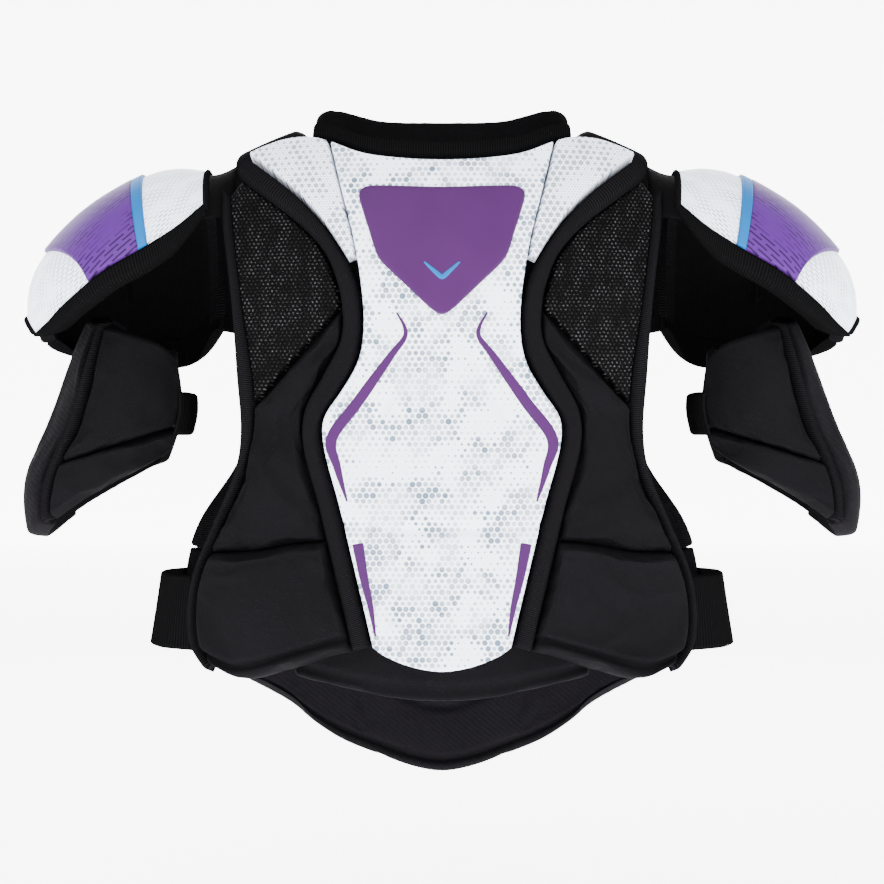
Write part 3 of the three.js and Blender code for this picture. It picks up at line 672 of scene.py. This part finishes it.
def buildChestSide(name, sign):
    yoke = dict(lifts=(3.2, 14.2), cells=(30, 44), roll=1.8, fill=0.7, low=[(47.2, -64), (53.8, -66)],
                top=[(64, 5), (76, 8.2), (90, 8), (103, 4.2), (113, 0)])
    region = patch(pathCurve(yoke["low"]), pathCurve(yoke["top"]),
                   edgeCurve(coverEdge, -64, 5, 1, -0.4), edgeCurve(whiteEdge, -66, 0))
    addPad("yoke_" + name, "chest", viewPlace(region, sign), yokeCloth, yoke, ["shoulder_yoke_" + name])

    edging = dict(lifts=(3.0, 14.6), cells=(12, 150), roll=4.2, fill=0.7, plainMap=True,
                  low=[(38.6, -281), (50.4, -284)], top=[(113, 0.4), (119.8, -11)])
    region = patch(pathCurve(edging["low"]), pathCurve(edging["top"]),
                   edgeCurve(whiteEdge, -281, 0.4), edgeCurve(bindingEdge, -284, -11, 1, -0.5))
    addPad("chest_edge_" + name, "chest", viewPlace(region, sign), tape, edging,
           ["chest_binding_" + name])

    mesh = dict(lifts=(3.2, 9.0), cells=(30, 50), roll=2.0, fill=0.4, corner=(82.5, -121.5))
    region = patch(pathCurve([(float(bindingEdge(-93)), -93), mesh["corner"], (float(wingEdge(-147)) - 0.5, -147)]),
                   pathCurve([(float(bindingEdge(-17)), -17), (float(wingEdge(-27)) - 0.5, -27)]),
                   edgeCurve(bindingEdge, -93, -17), edgeCurve(wingEdge, -147, -27, 1, 0.5))
    addPad("mesh_" + name, "chest", viewPlace(region, sign), meshCloth, mesh, ["mesh_insert_" + name])

    wing = dict(lifts=(3.2, 10.6), cells=(36, 56), roll=4.5, fill=0.5, pressure=1.4, corner=(82.5, -122.5))
    region = patch(pathCurve(wingSeam),
                   pathCurve([(float(bindingEdge(-94)), -94), wing["corner"], (float(wingEdge(-148)), -148)]),
                   edgeCurve(bindingEdge, -222, -94), edgeCurve(wingEdge, -229, -148))
    addPad("wing_" + name, "chest", viewPlace(region, sign), black, wing, ["upper_wing_" + name])

    waist = dict(lifts=(3.2, 14.6), cells=(44, 44), roll=5.0, crown=1.2, fill=0.75, pressure=2.6, cap=2.4,
                 seam=8.5, seamDepth=0.45, hem=[(50, -284), (62, -286.5), (88, -294.5), (112, -299.5), (132, -292.5)])
    region = patch(pathCurve(waist["hem"]), pathCurve(wingSeam),
                   edgeCurve(bindingEdge, -284, -222), edgeCurve(wingEdge, -292.5, -229))
    addPad("waist_pad_" + name, "chest", viewPlace(region, sign), black, waist, ["lower_wing_" + name],
           lambda u, v, w, h: waist["seamDepth"] * dip(v * h, waist["seam"]))

    border = dict(lifts=(1.6, 11.8), cells=(8, 120), roll=3.2, fill=0.7, plainMap=True,
                  low=[(130.5, -292), (134, -297.5)], top=[(121, -25.5), (126.8, -19.5)])
    region = patch(pathCurve(border["low"]), pathCurve(border["top"]),
                   edgeCurve(wingEdge, -292, -25.5), edgeCurve(outerEdge, -297.5, -19.5))
    addPad("side_edge_" + name, "chest", viewPlace(region, sign), tape, border,
           ["side_binding_" + name])

    bridge = dict(lifts=(2.0, 9.6), cells=(24, 36), roll=7.0, fill=0.6, pressure=1.2, cap=1.0,
                  across=(76.4, 118), down=(-30.5, 41))
    addPad("bridge_" + name, "chest",
           torsoPlace(lambda u, v: np.stack([mix(*bridge["across"], u), mix(*bridge["down"], v)], axis=-1), sign),
           black, bridge, ["shoulder_bridge_" + name])

    # printed lines, raised a little above the cover
    line = dict(lifts=(14.1, 14.95), cells=(6, 110), roll=0.2, plainMap=True,
                widths=[1.0, 3.2, 5.2, 6.6, 7.0, 7.0, 4.4, 1.0],
                path=[(25, -96), (20.5, -104), (20.5, -110), (28, -120), (46, -145), (60.5, -165), (57.5, -181),
                      (52, -200)])
    bar = dict(lifts=(14.1, 14.95), cells=(6, 50), roll=0.2, plainMap=True, widths=[7.0, 5.6, 3.8, 1.2],
               path=[(46.3, -222.5), (42.8, -242), (39.2, -258), (36.6, -274)])
    for label, values in (("line_", line), ("bar_", bar)):
        region = strip(values["path"], values["widths"])
        addPad(label + name, "chest", viewPlace(region, sign), linePrint, values)


buildChest()
for sideName, sideSign in (("left", 1), ("right", -1)):
    buildChestSide(sideName, sideSign)
print("chest built")

backEdge = heightCurve([(-42, 112), (-75, 108), (-110, 104), (-180, 103), (-220, 108), (-255, 124), (-285, 142),
                        (-310, 149), (-335, 149), (-360, 140), (-380, 118)])


def alongBack(inset, low, high, sign=1):
    def at(s):
        down = mix(low, high, s)
        return np.stack([sign * (backEdge(-down) - inset), down], axis=-1)
    return at


def buildBack():
    liner = dict(lifts=(0, 2.6), cells=(50, 50), roll=1.0, fill=0.3, inset=8, top=43, low=299,
                 neck=[(0, 78), (40, 72), (62, 61), (80, 47)])
    inset, top, low = liner["inset"], liner["top"], liner["low"]
    topHalf, lowHalf = float(backEdge(-top)) - inset, float(backEdge(-low)) - inset
    region = patch(straight((-lowHalf, low), (lowHalf, low)), pathCurve(bothSides(liner["neck"] + [(topHalf, top)])),
                   alongBack(inset, low, top, -1), alongBack(inset, low, top))
    addPad("back_lining", "back_panel", torsoPlace(region), lining, liner, ["back_liner"])

    centre = dict(lifts=(3, 15), cells=(40, 80), roll=3.0, fill=0.7, lowHalf=51, topHalf=47, low=299.2, top=79)
    lowHalf, low, topHalf, top = [centre[key] for key in ("lowHalf", "low", "topHalf", "top")]
    region = patch(straight((-lowHalf, low), (lowHalf, low)), straight((-topHalf, top), (topHalf, top)),
                   straight((-lowHalf, low), (-topHalf, top)), straight((lowHalf, low), (topHalf, top)))
    addPad("back_middle", "back_panel", torsoPlace(region), white, centre,
           ["back_centre", "back_foam", "spine_plate"])

    tail = dict(lifts=(7.0, 0.0), cells=(90, 60), roll=3.0, fill=0.4, pressure=1.0, cap=1.2, top=300.8, sideEnd=381,
                hem=[(0, 440), (18, 437), (37, 430), (59, 421), (76, 410), (93, 396), (118, 381)],
                hemSeam=8.0, uprights=52, arch=40, archRise=14, archHalf=60)
    top, end = tail["top"], tail["sideEnd"]
    half = float(backEdge(-top))
    region = patch(pathCurve(bothSides(tail["hem"])), straight((-half, top), (half, top)),
                   alongBack(0, end, top, -1), alongBack(0, end, top))

    def seams(u, v, w, h):
        across = np.abs(u - 0.5) * w
        hem = 0.6 * dip(v * h, tail["hemSeam"])
        uprights = 0.5 * dip(across, tail["uprights"], 1.6) * smooth((v * h - 8) / 6)
        arch = tail["arch"] + tail["archRise"] * (across / tail["archHalf"]) ** 2
        return np.maximum(hem, np.maximum(uprights, 0.5 * dip(v * h, arch, 1.6)))
    addPad("back_tail", "back_panel", torsoPlace(region), velour, tail, ["back_lower_flap"], seams)

    # the collar stands on an oval round the neck, and its skirt joins it to the top of the back
    collar = dict(lifts=(-3.5, 3.5), cells=(80, 20), roll=4.0, fill=0.6, pressure=1.5, cap=1.2, half=63.4,
                  wide=83, deep=58, centre=2, low=-7, lowRise=24, high=27.5, highRise=4.5, roundFrom=0.44)
    skirt = dict(lifts=(-1.6, 1.6), cells=(90, 16), roll=0.8, fill=0.4, half=60.0, low=-1, lowRise=22, reach=96.0,
                 shoulder=43, middle=38, lift=4.5)

    def collarPlace(u, v, lift, top):
        turn = np.radians(mix(-collar["half"], collar["half"], u))
        pastStart = np.maximum(0, np.abs(u - 0.5) - collar["roundFrom"]) / (0.5 - collar["roundFrom"])
        rounded = np.sqrt(np.maximum(0, 1 - pastStart ** 2))
        low = collar["low"] + collar["lowRise"] * np.sin(turn) ** 2
        high = collar["high"] + collar["highRise"] * smooth((np.abs(turn) - 0.4) / 0.5)
        z = (low + high) / 2 + (v - 0.5) * (high - low) * mix(0.35, 1, rounded)
        x = (collar["wide"] + lift) * np.sin(turn)
        y = collar["centre"] + (collar["deep"] + lift) * np.cos(turn)
        return np.stack([x, y, z], axis=-1), np.stack([u * 165, z], axis=-1)

    def skirtPlace(u, v, lift, top):
        turn = np.radians(mix(-skirt["half"], skirt["half"], u))
        joined = np.stack([collar["wide"] * np.sin(turn), collar["centre"] + collar["deep"] * np.cos(turn),
                           skirt["low"] + skirt["lowRise"] * np.sin(turn) ** 2], axis=-1)
        x = mix(-skirt["reach"], skirt["reach"], u)
        down = skirt["shoulder"] + skirt["middle"] * (1 - (np.abs(x) / 98) ** 1.6)
        panel = offPoint(torsoPoint, x, down + 5, np.full_like(x, skirt["lift"]))
        out = 0.7 * np.stack([np.sin(turn), np.cos(turn), np.ones_like(turn)], axis=-1)
        return mix(panel, joined, v[:, None]) + out * np.asarray(lift)[..., None], np.stack([u * 190, v * 22], axis=-1)
    addPad("collar_skirt", "back_panel", skirtPlace, lining, skirt)
    addPad("collar", "back_panel", collarPlace, lining, collar, ["back_collar"])

    side = dict(lifts=(3.0, 15), cells=(30, 70), roll=6.0, fill=0.7, pressure=2.0, inset=6, low=300.5, top=43,
                inner=((51.5, 300.5), (50, 80)), shoulder=[(50, 80), (66, 60), (84, 46), (105, 43)])
    edging = dict(lifts=(0, 11.5), cells=(8, 90), roll=3.2, fill=0.7, plainMap=True, wide=6.5, low=301, top=42)
    wide, low, top = edging["wide"], edging["low"], edging["top"]
    lowHalf, topHalf = float(backEdge(-low)), float(backEdge(-top))
    lowEnd = (float(backEdge(-300)) - side["inset"], side["low"])
    for name, sign in (("left", 1), ("right", -1)):
        region = patch(pathCurve([side["inner"][0], lowEnd]), pathCurve(side["shoulder"]),
                       straight(*side["inner"]), alongBack(side["inset"], side["low"], side["top"]))
        addPad("back_wing_" + name, "back_panel", torsoPlace(region, sign), black, side,
               ["back_pad_" + name])
        region = patch(straight((lowHalf - wide, low), (lowHalf, low)), straight((topHalf - wide, top), (topHalf, top)),
                       alongBack(wide, low, top), alongBack(0, low, top))
        addPad("back_edge_" + name, "back_panel", torsoPlace(region, sign), tape, edging,
               ["back_binding_" + name])


buildBack()
print("back built")

# the cap's ridge and its two rims, from the shoulder outwards
capRidge = [(134, 0, -9), (154, 0, -7), (174, 0, -12), (206, 0, -31), (231, 0, -56), (241, 0, -76), (242.5, 0, -100)]
capFront = [(131, -62, -38), (145, -70, -57), (163, -72, -70), (187, -70, -83), (207, -60, -97), (221, -48, -107),
            (235, -30, -108)]
capRear = [(131, 60, -98), (145, 70, -116), (163, 72, -122), (190, 70, -121), (212, 60, -119), (230, 48, -115),
           (240, 28, -108)]


def capPoint(u, turn):
    ridge = knotCurve(capRidge, u)
    rim = np.where((turn < 0)[:, None], knotCurve(capFront, u), knotCurve(capRear, u))
    sink = 1 - np.cos(turn)
    return np.stack([mix(ridge[:, 0], rim[:, 0], sink), rim[:, 1] * np.abs(np.sin(turn)),
                     mix(ridge[:, 2], rim[:, 2], sink)], axis=-1)


# values give along, from the shoulder outwards, and turns, from front to back in degrees. slant draws the outer end
# inwards towards the front rim, and bow narrows the far side in the middle, in degrees
def capPlace(sign, values):
    along, turns = values["along"], values["turns"]

    def place(u, v, lift, top):
        turn = np.radians(mix(turns[0], turns[1] - values.get("bow", 0) * np.sin(math.pi * u), v))
        a = mix(along[0], along[1] - values.get("slant", 0) * smooth(-turn / 1.35), u)
        spots = offPoint(capPoint, a, turn, lift, 0.012)
        spots[:, 0] *= sign
        return spots, np.stack([a * 150, np.degrees(turn) * 1.35], axis=-1)
    return place


def buildCap(name, sign):
    body = "cap_" + name
    cover = dict(along=(0.01, 0.955), turns=(-78, 81), lifts=(-2.6, 0), cells=(60, 70), roll=1.0, fill=0.9)
    addPad("cap_top_" + name, body, capPlace(sign, cover), capCloth, cover, ["cap_cover_" + name])
    foam = dict(along=(0.01, 0.955), turns=(-80, 82), lifts=(-10.4, -2.9), cells=(50, 60), roll=2.0, fill=0.5)
    addPad("cap_lining_" + name, body, capPlace(sign, foam), lining, foam,
           ["cap_foam_" + name, "cap_shell_" + name])
    trim = dict(along=(0.362, 0.675), turns=(-77.5, 62), slant=0.12, lifts=(-0.4, 2.2), cells=(40, 80), roll=1.2)
    addPad("cap_trim_" + name, body, capPlace(sign, trim), purpleBand, trim, ["cap_band_" + name])
    stripe = dict(along=(0.328, 0.368), turns=(-77.5, 61), lifts=(-0.2, 2.0), cells=(8, 80), roll=0.8)
    addPad("cap_stripe_" + name, body, capPlace(sign, stripe), cyanPrint, stripe)

    # the binding in four runs: front rim, outer end, back rim and shoulder end
    edge = dict(lifts=(-10.6, 2.2), roll=4.5, fill=0.8, plainMap=True)
    runs = [dict(along=(0.0, 0.985), turns=(-90, -71.0), cells=(80, 14), bow=4.6),
            dict(along=(0.935, 0.99), turns=(-84, 86), cells=(12, 70)),
            dict(along=(0.0, 0.985), turns=(80, 90), cells=(80, 12)),
            dict(along=(-0.01, 0.05), turns=(-86, 86), cells=(12, 70))]
    for i, run in enumerate(runs):
        addPad(f"cap_edge_{name}_{i}", body, capPlace(sign, run), tape if i % 2 else webbing,
               {**edge, **run}, ["cap_binding_" + name] if i == 0 else [])

    # a loop of soft cloth between the shoulder and the cap's rim
    loop = dict(lifts=(-1.2, 1.2), cells=(90, 14), roll=0.8, shoulder=116.5, front=-92.0, back=172.0, off=4.5,
                rim=0.035, rimTurn=88.0, under=3.5, sag=1.5)

    def loopPlace(u, v, lift, top):
        down = mix(loop["front"], loop["back"], u)
        inner = offPoint(torsoPoint, np.full_like(u, loop["shoulder"]), down, lift + loop["off"])
        turn = np.radians(mix(-loop["rimTurn"], loop["rimTurn"], u))
        outer = offPoint(capPoint, np.full_like(u, loop["rim"]), turn, lift - loop["under"], 0.012)
        spots = mix(inner, outer, v[:, None])
        spots[:, 2] -= loop["sag"] * np.sin(math.pi * v) * np.sin(math.pi * u)
        spots[:, 0] *= sign
        return spots, np.stack([u * 200, v * 18], axis=-1)
    piece = makePad("arm_loop_" + name, loopPlace, loop)
    piece.data.materials.append(lining)
    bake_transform(piece)

    hanger = dict(lifts=(-1.1, 1.1), cells=(10, 24), roll=0.6, x=184, halfWidth=12.0, low=-86.0, top=-26.0)

    def hangerPlace(u, v, lift, top):
        across = mix(-hanger["halfWidth"], hanger["halfWidth"], u)
        spots = np.stack([sign * (hanger["x"] + lift), across, mix(hanger["low"], hanger["top"], v)], axis=-1)
        return spots, np.stack([u * 24, v * 60], axis=-1)
    piece = addPad("hanger_" + name, body, hangerPlace, webbing, hanger, ["guard_hanger_" + name])


# the arm in its guard: height, centre, half width and half depth
guardRings = [(-90, 178, 27, 34), (-120, 181.8, 34.8, 38), (-146, 184.5, 41.5, 41), (-160, 188.3, 43.2, 42),
              (-176, 194.5, 44.5, 43), (-190, 199.5, 44, 43), (-205, 203, 41.5, 42), (-224, 205, 37, 41)]
ringCentre, ringWide, ringDeep = [heightCurve([(row[0], row[k]) for row in guardRings]) for k in (1, 2, 3)]


def guardPoint(turn, z, lift):
    wide, deep = ringWide(z), ringDeep(z)
    nose = np.stack([np.cos(turn) / wide, np.sin(turn) / deep, np.zeros_like(turn)], axis=-1)
    nose /= np.linalg.norm(nose, axis=-1, keepdims=True)
    spots = np.stack([ringCentre(z) + wide * np.cos(turn), deep * np.sin(turn), z], axis=-1)
    return spots + nose * np.asarray(lift)[..., None]


# values give turns round the arm in degrees and share from bottom to top. corners shorten the end at u = 0, from the
# bottom and from the top, each as a curve
def guardPlace(sign, values):
    turns, share, corners = values["turns"], values["share"], values.get("corners", (0, 0))

    def place(u, v, lift, top):
        turn = np.radians(mix(turns[0], turns[1], u))
        corner = 1 - np.sqrt(np.maximum(0, 1 - np.maximum(0, 1 - u / 0.36) ** 2))
        v = mix(corners[0] * corner, 1 - corners[1] * corner, v)
        z = mix(-104 + 9 * np.cos(turn), -197 - 24 * np.cos(turn), mix(share[0], share[1], v))
        spots = guardPoint(turn, z, lift)
        spots[:, 0] *= sign
        return spots, np.stack([np.degrees(turn) * 0.72, z], axis=-1)
    return place


def buildGuard(name, sign):
    body = "guard_" + name
    shell = dict(turns=(-48, 59.5), share=(-0.01, 1.01), lifts=(-11.0, 0), cells=(40, 44), roll=4.5, fill=0.6,
                 pressure=1.5, cap=1.5)
    addPad("guard_shell_" + name, body, guardPlace(sign, shell), velour, shell,
           ["guard_outer_" + name, "guard_plate_" + name])
    rear = dict(turns=(58.5, 138), share=(0, 1), lifts=(-8, 0), cells=(32, 44), roll=4.0, fill=0.6, pressure=1.5,
                cap=1.5)
    addPad("guard_rear_" + name, body, guardPlace(sign, rear), black, rear, ["guard_back_" + name])
    seam = dict(turns=(-57, -47.5), share=(-0.012, 1.012), lifts=(-8.6, 1.8), cells=(10, 90), roll=2.8, fill=0.8,
                plainMap=True)
    addPad("guard_seam_" + name, body, guardPlace(sign, seam), tape, seam, ["guard_rib_" + name])
    face = dict(turns=(-148.5, -56.5), share=(0, 0.722), corners=(0.3, 0), lifts=(-8, 0.3), cells=(44, 36), roll=4.0,
                fill=0.6, pressure=1.5, cap=1.8)
    addPad("guard_face_" + name, body, guardPlace(sign, face), black, face, ["guard_front_" + name])
    hem = dict(turns=(-148.5, -56.5), share=(0.718, 1.01), corners=(0, 0.5), lifts=(-8, 0.8), cells=(44, 18), roll=4.0,
               fill=0.6, pressure=1.5, cap=1.8)
    addPad("guard_hem_" + name, body, guardPlace(sign, hem), black, hem, ["guard_cuff_" + name])

    band = dict(lifts=(2.7, 4.9), cells=(36, 12), roll=0.7, turns=(126.0, 222.0), low=-163.0, top=-138.0, pulledTo=212)

    def strapPlace(u, v, lift, top):
        turn = np.radians(mix(*band["turns"], u))
        height = mix(band["low"], band["top"], v)
        spots = guardPoint(turn, height, lift)
        pulled = guardPoint(np.full_like(turn, math.radians(band["pulledTo"])), height, lift)
        spots[:, 0] = sign * np.maximum(spots[:, 0], pulled[:, 0])
        return spots, np.stack([u * 70, v * 25], axis=-1)
    piece = addPad("arm_band_" + name, "arm_strap_" + name, strapPlace, webbing, band,
                   ["arm_strap_" + name])


def buildSideStrap(name, sign):
    root = dict(lifts=(0, 2.2), cells=(20, 24), roll=0.7, low=-286.0, top=-243.0,
                path=[(124, -60.5), (134, -53), (144, -41)])
    band = dict(lifts=(0.2, 2.3), cells=(70, 24), roll=0.7,
                low=[(143, -41, -286), (160, -24, -286), (169, 0, -286), (169.5, 20, -286), (163.5, 37, -286),
                     (153.8, 50, -286), (143.8, 59, -286)],
                top=[(142, -42, -243), (154, -25, -243), (161.5, 0, -243), (164.5, 20, -243), (161.5, 37, -243),
                     (153.9, 51.5, -243), (144, 60.6, -243)])

    def rootPlace(u, v, lift, top):
        spots = np.column_stack([knotCurve(root["path"], u), mix(root["low"], root["top"], v)])
        spots[:, 1] += np.asarray(lift)
        spots[:, 0] *= sign
        return spots, np.stack([u * 28, v * 43], axis=-1)

    def bandPlace(u, v, lift, top):
        spots = mix(knotCurve(band["low"], u), knotCurve(band["top"], u), v[:, None])
        way = knotCurve(band["low"], np.minimum(1, u + 0.01)) - knotCurve(band["low"], np.maximum(0, u - 0.01))
        nose = np.stack([way[:, 1], -way[:, 0], np.zeros_like(u)], axis=-1)
        nose /= np.linalg.norm(nose, axis=-1, keepdims=True)
        spots = spots + nose * np.asarray(lift)[..., None]
        spots[:, 0] *= sign
        return spots, np.stack([u * 96, v * 43], axis=-1)
    piece = addPad("strap_root_" + name, "chest", rootPlace, webbing, root)
    piece = addPad("waist_strap_" + name, "side_strap_" + name, bandPlace, webbing, band,
                   ["side_strap_" + name])


for sideName, sideSign in (("left", 1), ("right", -1)):
    buildCap(sideName, sideSign)
    buildGuard(sideName, sideSign)
    buildSideStrap(sideName, sideSign)
print("caps, guards and straps built")


# a bright floor that turns up into a back wall
def buildRoom():
    room = dict(colour="#FFFFFF", glow=4.5, half=6.0, widen=4, floor=-0.46, top=6.0)
    bm = bmesh.new()
    bmesh.ops.create_grid(bm, x_segments=2, y_segments=2, size=room["half"])
    for vert in bm.verts:
        vert.co = (vert.co.x * room["widen"], vert.co.y, room["floor"])
    edge = [e for e in bm.edges if all(v.co.y > room["half"] - 0.1 for v in e.verts)]
    raised = bmesh.ops.extrude_edge_only(bm, edges=edge)
    for vert in raised["geom"]:
        if isinstance(vert, bmesh.types.BMVert):
            vert.co.z = room["top"]
    floor = linkMesh("floor", bm)
    stuff, shader, add = newStuff("pale_floor", 0.9)
    colour = linear(room["colour"])
    setInputs(shader, {"Base Color": colour, "Emission Color": colour, "Emission Strength": room["glow"]})
    floor.data.materials.append(stuff)


def addLight(name, place, target, size, power):
    data = bpy.data.lights.new(name, "AREA")
    data.energy = power
    data.size = size
    lamp = bpy.data.objects.new(name, data)
    lamp.location = place
    lamp.rotation_euler = (Vector(target) - Vector(place)).to_track_quat("-Z", "Y").to_euler()
    bpy.context.scene.collection.objects.link(lamp)


buildRoom()
addLight("key", (-0.9, -1.6, 1.2), (0, 0, -0.15), 1.2, 62)
addLight("fill", (1.3, -1.5, 0.5), (0, 0, -0.18), 1.4, 42)
addLight("top", (0, 0.1, 1.8), (0, 0, -0.1), 1.4, 18)
addLight("back", (0, 1.6, 0.7), (0, 0, -0.1), 1.4, 16)
studio = dict(colour="#F4F6FA", strength=1.25)
world = bpy.data.worlds.new("studio")
world.use_nodes = True
world.node_tree.nodes["Background"].inputs[0].default_value = linear(studio["colour"])
world.node_tree.nodes["Background"].inputs[1].default_value = studio["strength"]
bpy.context.scene.world = world

camera = dict(distance=1.5, height=-0.167, lens=104.0, sensor=36.0)
lens = bpy.data.cameras.new("camera")
lens.lens = camera["lens"]
lens.sensor_width = camera["sensor"]
view = bpy.data.objects.new("camera", lens)
view.location = (0, -camera["distance"], camera["height"])
view.rotation_euler = (math.radians(90), 0, 0)
bpy.context.scene.collection.objects.link(view)
bpy.context.scene.camera = view
print("room, lights and camera set")
